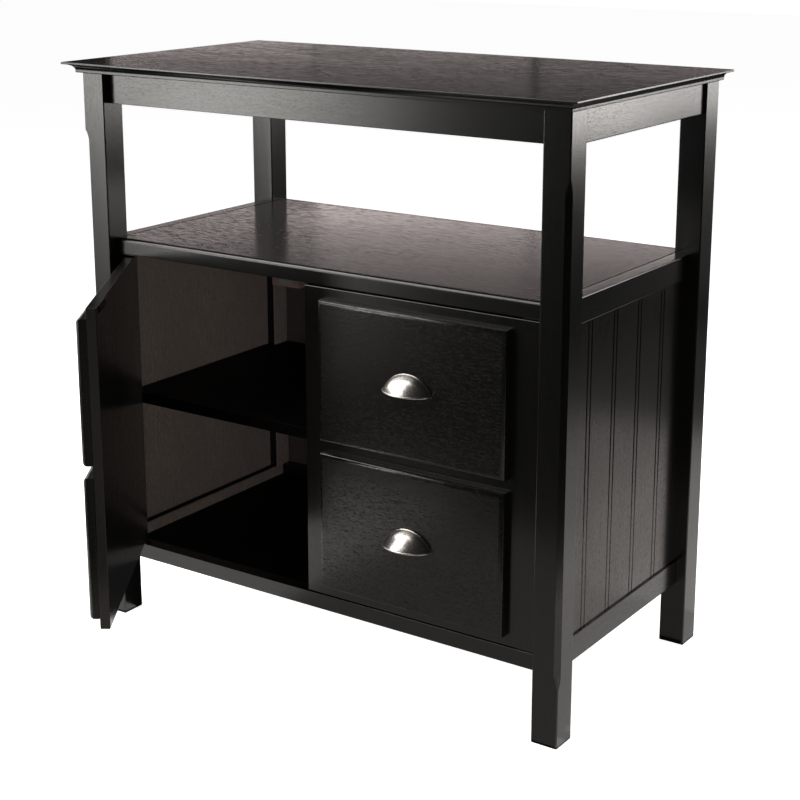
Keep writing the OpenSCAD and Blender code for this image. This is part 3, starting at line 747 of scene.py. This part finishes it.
@dataclass
class Carcass(Assembly):
    """Top, legs, rails and panels that make the cabinet's body.

    Attributes:
        legs: nodes of the legs.
        long_rails: nodes of the aprons and rails along X.
        short_rails: nodes of the aprons and rails along Y.
        side_panels: nodes of the cupboard's sides.
        cupboard: lowest and highest corner of the room inside the cupboard.
        moulding: area under which a level face of a board belongs to its moulding.
        level: share of a board's face's normal along Z from which the face counts as level.
        upward: share of it from which a face belongs to an upper edge.
        across: least product of a side face's normal and place along X, where it looks inwards.
        board_edge: width of the boards' eased edges.
        leg_edge: width of the legs'.
        long_rail_edge: width of the long rails'.
        short_rail_edge: width of the short rails', apart from the base's.
        base_rail_edge: width of the short base rails'.
        side_panel_edge: width of the side panels'.
        floor_edge: width of the cupboard floor's.
        shelf_edge: width of the inner shelf's.
        back_edge: width of the back panel's.
    """

    legs: tuple[str, ...] = ("leg_front_left", "leg_front_right", "leg_rear_left", "leg_rear_right")
    long_rails: tuple[str, ...] = ("apron_front", "apron_rear", "shelf_rail_front",
                                   "shelf_rail_rear", "base_rail_front", "base_rail_rear")
    short_rails: tuple[str, ...] = ("apron_left", "apron_right", "shelf_rail_left",
                                    "shelf_rail_right", "base_rail_left", "base_rail_right")
    side_panels: tuple[str, ...] = ("side_panel_left", "side_panel_right")
    cupboard: tuple[Point, Point] = ((-0.4265, -0.176, 0.123), (0.4265, 0.215, 0.600))
    moulding: float = 0.02
    level: float = 0.9
    upward: float = 0.3
    across: float = 0.1
    board_edge: float = 0.0010
    leg_edge: float = 0.0018
    long_rail_edge: float = 0.0008
    short_rail_edge: float = 0.0015
    base_rail_edge: float = 0.0022
    side_panel_edge: float = 0.0004
    floor_edge: float = 0.0006
    shelf_edge: float = 0.0009
    back_edge: float = 0.0005

    def board(self, node: str) -> bpy.types.Object:
        """Makes a board whose edges and moulding are lacquered as the rails are.

        Args:
            node: the board's node.

        Returns:
            The piece.
        """
        return self.faced(
            self.eased(node, BOARD, self.board_edge), LONG_RAIL,
            lambda face: abs(face.normal.z) < self.level or face.calc_area() < self.moulding)

    def stain_with_painted_light(self, made: bpy.types.Object) -> bpy.types.Object:
        """Gives the faces that look across the cupboard from its sides a brown stain that carries
        painted light: it is lighter than the back panel's, for the light that falls in through the
        opening, and it lightens the legs' and rails' inner faces there too.

        Args:
            made: the piece.

        Returns:
            The piece.
        """
        low, high = (Vector(corner) for corner in self.cupboard)

        def inward(face: bmesh.types.BMFace) -> bool:
            """Tells the faces that look across the cupboard and lie in it.

            Args:
                face: a face of the piece.

            Returns:
                Whether it is one.
            """
            middle = face.calc_center_median()
            inside = all(least < at < most for least, at, most in zip(low, middle, high))
            return inside and face.normal.x * middle.x < -self.across

        return self.faced(made, WALL_STAIN_AND_PAINTED_LIGHT, inward, cuts=(low.z, high.z))

    def painted_seam_shade(self, made: bpy.types.Object, facing: Facing, least: float = 0.1) -> None:
        """Paints shade on the upper edges along a joint, in the dark inside finish, where the
        shadow of the gap there falls.

        Args:
            made: the piece.
            facing: way that those edges look.
            least: how far an edge must look that way; below 0 for the level face beside it too.
        """
        self.faced(made, DARK_INSIDE, lambda face: face.normal.z > self.upward and (
            face.normal.x * face.calc_center_median().x * facing.value > least))

    def build(self) -> None:
        """Makes every wooden piece of the body."""
        self.board("top_panel")
        # Painted shade on the open shelf's outer upper edges, where it meets the shelf rails.
        self.painted_seam_shade(self.board("open_shelf"), Facing.OUT)
        for node in self.legs:
            # Painted light on the legs' inner faces in the cupboard, through the lighter stain.
            self.stain_with_painted_light(self.eased(node, LEG, self.leg_edge))
        for node in self.long_rails:
            self.eased(node, LONG_RAIL, self.long_rail_edge)
        for node in self.short_rails:
            at_base = node.startswith("base")
            edge = self.base_rail_edge if at_base else self.short_rail_edge
            # Painted light on the short rails' inner faces in the cupboard, through the lighter
            # stain.
            made = self.stain_with_painted_light(self.eased(node, SHORT_RAIL, edge))
            if at_base:
                # Painted shade on the base rail's outer upper edge and on the ledge on its top,
                # under the side panel.
                self.painted_seam_shade(made, Facing.OUT, least=-0.01)
            elif node.startswith("shelf"):
                # Painted shade on the shelf rail's inner upper edge, where it meets the open shelf.
                self.painted_seam_shade(made, Facing.IN)
        for node in self.side_panels:
            # Painted light on the side panels' inner faces, through the lighter stain.
            self.stain_with_painted_light(self.eased(node, SIDE_PANEL, self.side_panel_edge))
        self.eased("cupboard_floor", DARK_INSIDE, self.floor_edge)
        self.eased("inner_shelf", DARK_INSIDE, self.shelf_edge)
        self.eased("back_panel", BACK_STAIN, self.back_edge)
        self.dress(DARK_INSIDE, "top_cleats", "floor_cleats", "catch_block")


@dataclass
class Fittings(Assembly):
    """Pins, leaves, catches and screws that the cabinet's body carries."""

    def build(self) -> None:
        """Finishes the small fittings of the body."""
        self.dress(ZINC, "top_screws", "back_screws", "shelf_pins", "catch_screws")
        self.dress(BROWNED, "left_pivot_pins", "right_pivot_pins", "leaf_screws")
        self.dress(MAGNET, "catch_magnets")
        self.dress(CASE, "catch_cases")


@dataclass
class CupPull(Assembly):
    """A cup pull, modelled closed and square-on, then put in its place.

    Attributes:
        half_width: half the cup's width, without its rim.
        height: height of the cup, without its rim.
        out: how far it stands out.
        sink: how far the middle of its ellipsoid lies below its lower edge.
        rim: width of the rim round the cup.
        wall: thickness of the metal.
        bead: radius of the rolled lower edge.
        bead_sides: sides of its section.
        bead_inset: how far its middle lies inside the cup at its ends and in front, in its radii.
        steps: steps of the half turn.
        dome: angles in degrees at which the cup's section has a point, from its middle to its rim.
        rim_section: points of the rim's section, as (distance inside its edge, distance out).
    """

    half_width: float = 0.0405
    height: float = 0.027
    out: float = 0.0275
    sink: float = 0.018
    rim: float = 0.001
    wall: float = 0.0016
    bead: float = 0.0011
    bead_sides: int = 14
    bead_inset: Pair = (0.3, 0.5)
    steps: int = 64
    dome: tuple[float, ...] = (90, 85, 79, 73, 67, 61, 55, 49, 43, 37, 31, 25, 19, 13, 8, 5)
    rim_section: tuple[Pair, ...] = ((0.0006, 0.0012), (0.0002, 0.0010), (0.0, 0.0006), (0.0, 0.0))

    def profile(self, reach: float, out: float) -> list[Pair]:
        """Works out the section from the middle of the cup to its rim.

        Args:
            reach: half the width of the cup's ellipsoid.
            out: half its depth.

        Returns:
            Points, as (distance from the middle, distance out).
        """
        angles = [math.radians(degrees) for degrees in self.dome]
        edge = reach + self.rim
        return ([(reach * math.cos(angle), out * math.sin(angle)) for angle in angles]
                + [(edge - inside, level) for inside, level in self.rim_section])

    def cup(self) -> bmesh.types.BMesh:
        """Spins the cup's outer skin and cuts it off at its lower edge.

        Returns:
            The skin, with its faces outwards.
        """
        share = math.sqrt(1.0 - (self.sink / (self.height + self.sink)) ** 2)
        reach, tall = self.half_width / share, self.height + self.sink
        shape = bmesh.new()
        points = [shape.verts.new((across, -out, 0.0))
                  for across, out in self.profile(reach, self.out / share)]
        lines = [shape.edges.new(pair) for pair in zip(points, points[1:])]
        bmesh.ops.spin(shape, geom=points + lines, cent=(0.0, 0.0, 0.0), axis=(0.0, 1.0, 0.0),
                       angle=-math.pi, steps=self.steps, use_merge=False, use_duplicate=False)
        bmesh.ops.remove_doubles(shape, verts=shape.verts, dist=WELD)
        ordered(shape)
        bmesh.ops.scale(shape, vec=(1.0, 1.0, tall / reach), verts=shape.verts)
        bmesh.ops.translate(shape, vec=(0.0, 0.0, -self.sink), verts=shape.verts)
        bmesh.ops.bisect_plane(shape, geom=shape.verts[:] + shape.edges[:] + shape.faces[:],
                               dist=WELD, plane_co=(0.0, 0.0, 0.0), plane_no=(0.0, 0.0, 1.0),
                               clear_inner=True)
        bmesh.ops.recalc_face_normals(shape, faces=shape.faces)
        if sum(face.normal.y * face.calc_area() for face in shape.faces) > 0.0:
            bmesh.ops.reverse_faces(shape, faces=shape.faces)
        ordered(shape)
        return shape

    def lip(self) -> bmesh.types.BMesh:
        """Spins the rolled lower edge and draws it out to the cup's depth.

        Returns:
            The closed bead.
        """
        shape = bmesh.new()
        across, front = (reach - inset * self.bead for reach, inset
                         in zip((self.half_width, self.out), self.bead_inset))
        upright = Matrix.Rotation(math.pi / 2, 4, "X")
        bmesh.ops.create_circle(shape, segments=self.bead_sides, radius=self.bead,
                                matrix=Matrix.Translation((across, 0.0, self.bead)) @ upright)
        bmesh.ops.spin(shape, geom=shape.verts[:] + shape.edges[:], cent=(0.0, 0.0, self.bead),
                       axis=(0.0, 0.0, 1.0), angle=-math.pi, steps=self.steps, use_merge=False,
                       use_duplicate=False)
        ordered(shape)
        bmesh.ops.holes_fill(shape, edges=[line for line in shape.edges if line.is_boundary])
        bmesh.ops.scale(shape, vec=(1.0, front / across, 1.0), verts=shape.verts)
        bmesh.ops.recalc_face_normals(shape, faces=shape.faces)
        return shape

    def build(self, name: str, node: str, place: Matrix, finish: Finish) -> None:
        """Makes the pull.

        Args:
            name: name of the piece.
            node: node that it stands for.
            place: where the middle of the lower edge is, and how the pull is turned.
            finish: its finish.
        """
        cup = self.cup()
        cup.transform(place)
        made = piece(cup, name, self.body, finish, node)
        shell = made.modifiers.new("metal", "SOLIDIFY")
        shell.thickness, shell.offset, shell.use_even_offset = self.wall, -1.0, True
        smooth(made, sharp=math.radians(50.0))
        lip = self.lip()
        lip.transform(place)
        smooth(piece(lip, f"{name}_lip", self.body, finish), sharp=math.radians(60.0))


@dataclass
class Door(Assembly):
    """One door with its two raised fronts and their cup pulls.

    Attributes:
        side: side of the cabinet that it is on.
        turn: angle about Z that the door stands at.
        pivot: where the pivot pins are, seen from above.
        pull_x: middle of the pulls with the door closed.
        pull_y: face of the raised fronts with the door closed.
        pull_z: lower edges of the upper and lower pull.
        slab_edge: width of the slab's eased edges.
        front_edge: width of the raised fronts' eased edges.
        not_front: share of a face's normal towards the rear from which it isn't the slab's front.
        not_level: share of it along Z under which it isn't the slab's top or underside.
    """

    side: Side = Side.RIGHT
    turn: float = 0.0
    pivot: Pair = (0.370, -0.2015)
    pull_x: float = 0.177
    pull_y: float = -0.224
    pull_z: Pair = (0.4795, 0.2455)
    slab_edge: float = 0.0012
    front_edge: float = 0.0008
    not_front: float = -0.2
    not_level: float = 0.5

    def own(self, finish: Union[Lacquer, SatinNickel]) -> Union[Lacquer, SatinNickel]:
        """The finish with this door's name and turn."""
        return replace(finish, name=finish.name.format(self.side.value), turn=self.turn)

    def turned(self, closed: Point) -> Matrix:
        """Works out where a place on the closed door is with the door turned.

        Args:
            closed: the place with the door closed.

        Returns:
            The place and turn.
        """
        hinge = Vector((*self.pivot, 0.0))
        return (Matrix.Translation(hinge) @ Matrix.Rotation(self.turn, 4, "Z")
                @ Matrix.Translation(Vector(closed) - hinge))

    def build(self) -> None:
        """Makes the door's pieces."""
        side = self.side.value
        backward = Matrix.Rotation(self.turn, 3, "Z") @ Vector((0.0, 1.0, 0.0))
        slab = self.eased(f"{side}_door_slab", self.own(DOOR_SLAB), self.slab_edge)
        # Painted light: the slab's rear face and edges get a lighter body than its front.
        self.faced(slab, self.own(DOOR_BACK_WITH_PAINTED_LIGHT), lambda face: (
            face.normal.dot(backward) > self.not_front and abs(face.normal.z) < self.not_level))
        for level, low in zip(("upper", "lower"), self.pull_z):
            self.eased(f"{side}_{level}_front", self.own(RAISED_FRONT), self.front_edge)
            place = self.turned((self.pull_x, self.pull_y, low))
            CupPull(body=self.body).build(f"{side}_{level}_cup", f"{side}_{level}_pull", place,
                                          self.own(NICKEL))
        self.dress(DOWEL, f"{side}_dowels")
        self.dress(ZINC, f"{side}_pull_screws")
        self.dress(BROWNED, f"{side}_pivot_plates", f"{side}_strike")


WARM: Tint = (1.0, 0.885, 0.86)
CREAM: Tint = (1.0, 0.975, 0.94)
CLEAN: Tint = (1.0, 1.0, 0.975)


@dataclass(frozen=True)
class SoftBox:
    """A soft rectangular light that the camera doesn't see.

    Attributes:
        name: name of the light.
        place: its middle.
        at: point that it faces.
        size: width and height.
        radiance: how bright its face is.
        tint: colour of the light.
        reach: what it acts on.
    """

    name: str
    place: Point
    at: Point
    size: Pair
    radiance: float
    tint: Tint = CLEAN
    reach: Reach = Reach.BOTH

    def hang(self) -> None:
        """Adds the light to the scene."""
        data = bpy.data.lights.new(self.name, "AREA")
        data.shape, data.size, data.size_y = "RECTANGLE", *self.size
        data.energy = self.radiance * math.pi * self.size[0] * self.size[1]
        data.color = self.tint
        made = bpy.data.objects.new(self.name, data)
        made.location = self.place
        aim = Vector(self.at) - Vector(self.place)
        made.rotation_euler = aim.to_track_quat("-Z", "Y").to_euler()
        made.visible_camera = False
        made.visible_glossy, made.visible_diffuse = self.reach.value
        bpy.context.scene.collection.objects.link(made)


@dataclass(frozen=True)
class Strips:
    """A column of soft strips that faces the cabinet's middle, for the gloss of one side to mirror.

    Attributes:
        name: name of the column, which the strips' names begin with.
        place: its middle, seen from above.
        width: width of the strips.
        tint: colour of the light.
        rows: each strip's name, the height of its middle, its own height and its radiance.
    """

    name: str
    place: Pair
    width: float
    tint: Tint
    rows: tuple[tuple[str, float, float, float], ...]

    def hang(self) -> None:
        """Adds the strips to the scene."""
        for row, middle, height, radiance in self.rows:
            SoftBox(f"{self.name}_{row}", (*self.place, middle), (0.0, 0.0, middle),
                    (self.width, height), radiance, self.tint).hang()


@dataclass(frozen=True)
class FloorPatch:
    """A bright patch of floor, for the gloss low on the cabinet to mirror.

    Attributes:
        name: name of the light.
        place: its middle.
        size: size along X and Y.
        radiance: how bright it is.
        tint: colour of the light.
        reach: what it acts on.
    """

    name: str
    place: Point
    size: Pair
    radiance: float
    tint: Tint = CREAM
    reach: Reach = Reach.BOTH

    def hang(self) -> None:
        """Adds the patch to the scene."""
        above = (*self.place[:2], 1.0)
        SoftBox(self.name, self.place, above, self.size, self.radiance, self.tint,
                self.reach).hang()


LIGHTS: tuple[Union[SoftBox, Strips, FloorPatch], ...] = (
    # The fronts mirror these.
    Strips("front_left", (-2.09, -1.682), 0.53, CLEAN, (
        ("foot", 0.145, 0.25, 0.5), ("low", 0.405, 0.27, 0.85),
        ("upper", 0.705, 0.33, 6.63), ("high", 1.035, 0.33, 2.15))),
    Strips("front_mid", (-1.698, -1.984), 0.46, CLEAN, (
        ("foot", 0.145, 0.25, 3.29), ("low", 0.405, 0.27, 6.93),
        ("upper", 0.705, 0.33, 10.08), ("high", 1.035, 0.33, 2.11))),
    Strips("front_near", (-1.418, -2.2), 0.248, CLEAN, (
        ("foot", 0.145, 0.25, 1.8), ("low", 0.405, 0.27, 3.51),
        ("upper", 0.705, 0.33, 6.03), ("high", 1.035, 0.33, 0.65))),
    Strips("front_right", (-1.11, -2.438), 0.53, CLEAN, (
        ("low", 0.405, 0.27, 0.05), ("high", 1.035, 0.33, 2.29))),
    SoftBox("over_left", (-2.05, -0.75, 2.1), (0.0, -0.2, 0.5), (1.5, 1.7), 5.5),
    SoftBox("over_front", (-1.35, -1.85, 2.15), (0.0, -0.2, 0.5), (1.3, 1.6), 5.0),
    # The right side's panel, rails and legs mirror these.
    Strips("side_left", (1.242, 2.292), 0.602, CREAM, (
        ("foot", 0.16, 0.24, 0.12), ("low", 0.4, 0.24, 0.1),
        ("upper", 0.73, 0.3, 4.03), ("high", 1.03, 0.3, 0.9))),
    Strips("side_right", (1.767, 1.998), 0.602, CREAM, (
        ("upper", 0.69, 0.38, 9.6), ("high", 1.03, 0.3, 6.25))),
    # The top and the open shelf mirror these.
    Strips("back_left", (-1.662, 1.517), 0.57, WARM, (
        ("upper", 1.01, 0.1, 1.94), ("high", 1.11, 0.1, 0.15))),
    Strips("back_mid", (-1.169, 1.842), 0.611, WARM, (
        ("foot", 0.7, 0.2, 3.74), ("low", 0.88, 0.16, 2.86),
        ("upper", 1.01, 0.1, 0.95), ("high", 1.11, 0.1, 0.3))),
    Strips("back_right", (-0.557, 2.245), 0.855, WARM, (
        ("foot", 0.7, 0.2, 2.86), ("low", 0.88, 0.16, 4.67),
        ("upper", 1.01, 0.1, 0.55), ("high", 1.11, 0.1, 0.41))),
    # The lower parts mirror these.
    FloorPatch("floor_right_a", (0.514, -0.1, 0.003), (0.172, 0.8), 0.93),
    FloorPatch("floor_right_b", (0.7, -0.1, 0.004), (0.2, 0.8), 0.99),
    FloorPatch("floor_right_c", (0.975, -0.1, 0.004), (0.35, 0.8), 1.51),
    FloorPatch("floor_rear_a", (0.52, 0.75, 0.004), (0.16, 0.9), 1.25),
    FloorPatch("floor_rear_b", (0.7, 0.75, 0.004), (0.2, 0.9), 1.07),
    FloorPatch("floor_rear_c", (0.975, 0.75, 0.004), (0.35, 0.9), 0.74),
    FloorPatch("floor_far", (0.95, 1.65, 0.004), (0.8, 0.9), 0.13),
    FloorPatch("floor_under", (0.2, 0.0, 0.003), (0.5, 0.35), 0.3),
    FloorPatch("floor_front", (0.125, -0.55, 0.004), (0.65, 0.7), 0.43),
    FloorPatch("floor_front_left", (-0.6, -0.575, 0.004), (0.8, 0.75), 1.39),
    FloorPatch("floor_front_far", (-1.25, -1.75, 0.004), (0.7, 0.45), 0.65),
    FloorPatch("gleam_left", (-1.05, 0.3, 0.004), (0.8, 0.9), 1.2, reach=Reach.GLOSS),
    # Eased edges and the cup pulls mirror these.
    SoftBox("over_high", (-0.8, -0.75, 2.75), (0.0, -0.2, 0.5), (1.5, 1.5), 2.6),
    SoftBox("edge_inside", (0.27, -0.10, 0.36), (-0.41, 0.19, 0.36), (0.12, 0.44), 2.2,
            WARM, Reach.GLOSS),
    SoftBox("over_low", (-1.55, -1.9, 1.55), (0.0, -0.2, 0.6), (2.4, 0.5), 2.2),
    SoftBox("pull_left", (-2.3, 0.1, 0.9), (0.0, -0.2, 0.7), (2.2, 1.6), 1.0,
            reach=Reach.GLOSS),
    FloorPatch("pull_floor", (0.8, -1.65, 0.004), (1.3, 1.5), 0.15, CLEAN, Reach.GLOSS),
    SoftBox("over_back", (1.05, 1.95, 1.95), (0.43, 0.0, 0.75), (1.6, 0.9), 6.5, CREAM),
    # These light the shadows, the last two inside the cupboard.
    SoftBox("fill_back", (0.2, 3.0, 1.6), (0.0, 0.0, 0.5), (1.0, 1.0), 0.6),
    SoftBox("fill_left", (-3.0, 0.3, 1.2), (0.0, 0.0, 0.5), (1.0, 1.0), 0.4),
    SoftBox("flat_near", (1.7, -3.0, 0.85), (0.0, 0.0, 0.4), (2.0, 1.4), 3.0,
            reach=Reach.PLAIN),
    SoftBox("flat_right", (2.5, -2.25, 0.6), (0.0, 0.0, 0.4), (1.6, 1.0), 2.0,
            reach=Reach.PLAIN),
    SoftBox("glow_upper", (0.3, -0.1, 0.5), (-0.43, 0.05, 0.45), (0.25, 0.16), 9.0,
            reach=Reach.PLAIN),
    SoftBox("glow_lower", (0.3, -0.1, 0.26), (-0.43, 0.05, 0.26), (0.25, 0.16), 6.5,
            reach=Reach.PLAIN),
)


@dataclass
class Studio:
    """Floor, lights and camera.

    Attributes:
        eye: where the camera is.
        yaw: how far it is turned from looking along Y.
        pitch: how far it looks down.
        lens: its focal length in millimetres.
        sensor: width of its sensor in millimetres.
        rise: its vertical shift.
        floor_reach: how far the floor reaches from its middle.
        floor_squares: squares along a side of the floor.
        floor_drop: how far the floor lies below the feet.
        air: colour that the lacquer mirrors beyond the lights, and its strength.
        backdrop: strength of the white that the camera sees.
    """

    eye: Point = (1.4614, -2.1208, 1.1674)
    yaw: float = math.radians(34.372)
    pitch: float = math.radians(14.231)
    lens: float = 75.79
    sensor: float = 36.0
    rise: float = -0.1
    floor_reach: float = 14.0
    floor_squares: int = 8
    floor_drop: float = 0.0004
    air: tuple[Colour, float] = ((0.95, 0.97, 1.0, 1.0), 0.012)
    backdrop: float = 1.05

    def camera(self) -> None:
        """Sets the camera at the photograph's viewing angle."""
        data = bpy.data.cameras.new("camera")
        data.lens, data.sensor_width, data.shift_y = self.lens, self.sensor, self.rise
        made = bpy.data.objects.new("camera", data)
        made.location = self.eye
        made.rotation_euler = (math.pi / 2 - self.pitch, 0.0, self.yaw)
        bpy.context.scene.collection.objects.link(made)
        bpy.context.scene.camera = made

    def floor(self) -> None:
        """Lays the floor, which the lacquer mirrors only where a light lies on it."""
        sheet = bmesh.new()
        bmesh.ops.create_grid(sheet, x_segments=self.floor_squares, y_segments=self.floor_squares,
                              size=self.floor_reach)
        bmesh.ops.translate(sheet, vec=(0.0, 0.0, -self.floor_drop), verts=sheet.verts)
        data = bpy.data.meshes.new("floor")
        sheet.to_mesh(data)
        sheet.free()
        data.materials.append(PalePaper("pale_floor").material())
        made = bpy.data.objects.new("floor", data)
        made.visible_glossy = made.visible_diffuse = False
        bpy.context.scene.collection.objects.link(made)

    def surroundings(self) -> None:
        """Makes the surroundings white to the camera and grey to the lacquer's reflections."""
        world = bpy.data.worlds.new("studio_air")
        bpy.context.scene.world = world
        graph = Graph(world)
        seen = graph.node("ShaderNodeLightPath", out="Is Camera Ray")
        colour, strength = self.air
        dim = graph.node("ShaderNodeBackground", {}, {"Color": colour, "Strength": strength})
        white = graph.node("ShaderNodeBackground", {}, {"Color": WHITE, "Strength": self.backdrop})
        graph.end("ShaderNodeOutputWorld", "air", graph.mixed(dim, white, seen))

    def build(self) -> None:
        """Sets up the whole studio."""
        self.camera()
        self.floor()
        self.surroundings()
        for light in LIGHTS:
            light.hang()
        scene = bpy.context.scene
        scene.view_settings.view_transform = "Standard"
        scene.view_settings.look = "None"


def main() -> None:
    """Builds the studio and every part of the cabinet in order."""
    logging.basicConfig(level=logging.INFO, format="%(name)s: %(message)s")
    Studio().build()
    Carcass().build()
    Fittings().build()
    Door(body="left_door", side=Side.LEFT, turn=math.radians(-55.8), pivot=(-0.370, -0.2015),
         pull_x=-0.179).build()
    Door(body="right_door").build()
    bpy.context.view_layer.update()


if __name__ == "__main__":
    main()
